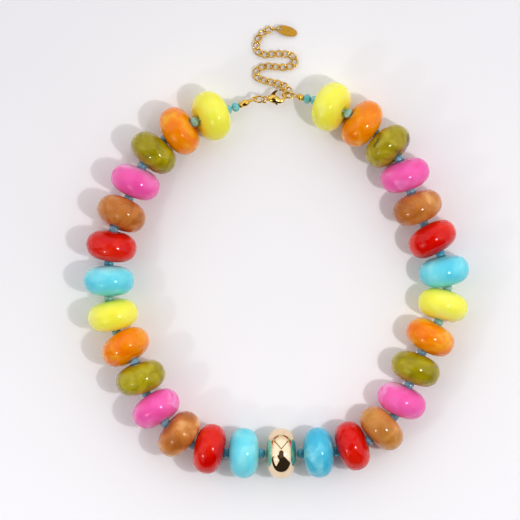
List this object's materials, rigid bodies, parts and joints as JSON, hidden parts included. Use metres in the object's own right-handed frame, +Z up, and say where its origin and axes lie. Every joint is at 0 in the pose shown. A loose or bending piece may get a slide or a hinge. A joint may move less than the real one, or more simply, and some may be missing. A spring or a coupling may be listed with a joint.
{
  "type": "resin bead necklace",
  "caption": "Closed necklace of fat glossy resin discs with small glass spacers, a gold front bead, a lobster clasp and an extender chain with a plain tag.",
  "frame": {"origin": "middle of the necklace's box, on the surface that it lies on", "axes": "+Z up, +Y from the gold front bead towards the clasp and tag, +X to the right seen from above"},
  "size_m": [0.1532, 0.1804, 0.0202],
  "materials": {
    "resin_yellow": "polished cast resin",
    "resin_tangerine": "polished cast resin, streaked",
    "resin_olive": "polished cast resin, clouded",
    "resin_pink": "polished cast resin",
    "resin_caramel": "polished cast resin, agate patches",
    "resin_red": "polished cast resin",
    "resin_turquoise": "polished cast resin",
    "plated_gold": "polished pale gold plating",
    "spacer_glass": "glossy opaque aqua glass",
    "gold_metal": "polished warm gold plating"
  },
  "bodies": {
    "necklace": {"bead_01": "resin_yellow", "bead_02": "resin_tangerine", "bead_03": "resin_olive", "bead_04": "resin_pink", "bead_05": "resin_caramel", "bead_06": "resin_red", "bead_07": "resin_turquoise", "bead_08": "resin_yellow", "bead_09": "resin_tangerine", "bead_10": "resin_olive", "bead_11": "resin_pink", "bead_12": "resin_caramel", "bead_13": "resin_red", "bead_14": "resin_turquoise", "bead_15": "plated_gold", "bead_16": "resin_turquoise", "bead_17": "resin_red", "bead_18": "resin_caramel", "bead_19": "resin_pink", "bead_20": "resin_olive", "bead_21": "resin_tangerine", "bead_22": "resin_yellow", "bead_23": "resin_turquoise", "bead_24": "resin_red", "bead_25": "resin_caramel", "bead_26": "resin_pink", "bead_27": "resin_olive", "bead_28": "resin_tangerine", "bead_29": "resin_yellow", "strand": "spacer_glass", "tip_left": "gold_metal", "tip_right": "gold_metal", "link_left": "gold_metal", "link_right": "gold_metal", "clasp_body": "gold_metal", "chain": "gold_metal", "tag": "gold_metal"},
    "lever": {"clasp_lever": "gold_metal"}
  },
  "joints": [
    {"name": "clasp_lever_pivot", "type": "hinge", "parent": "necklace", "child": "lever", "pos_m": [-0.00117, 0.06072, 0.0046], "axis": [0, 0, 1], "range_deg": [-22, 0], "stiffness_Nm_per_rad": 0.002}
  ]
}
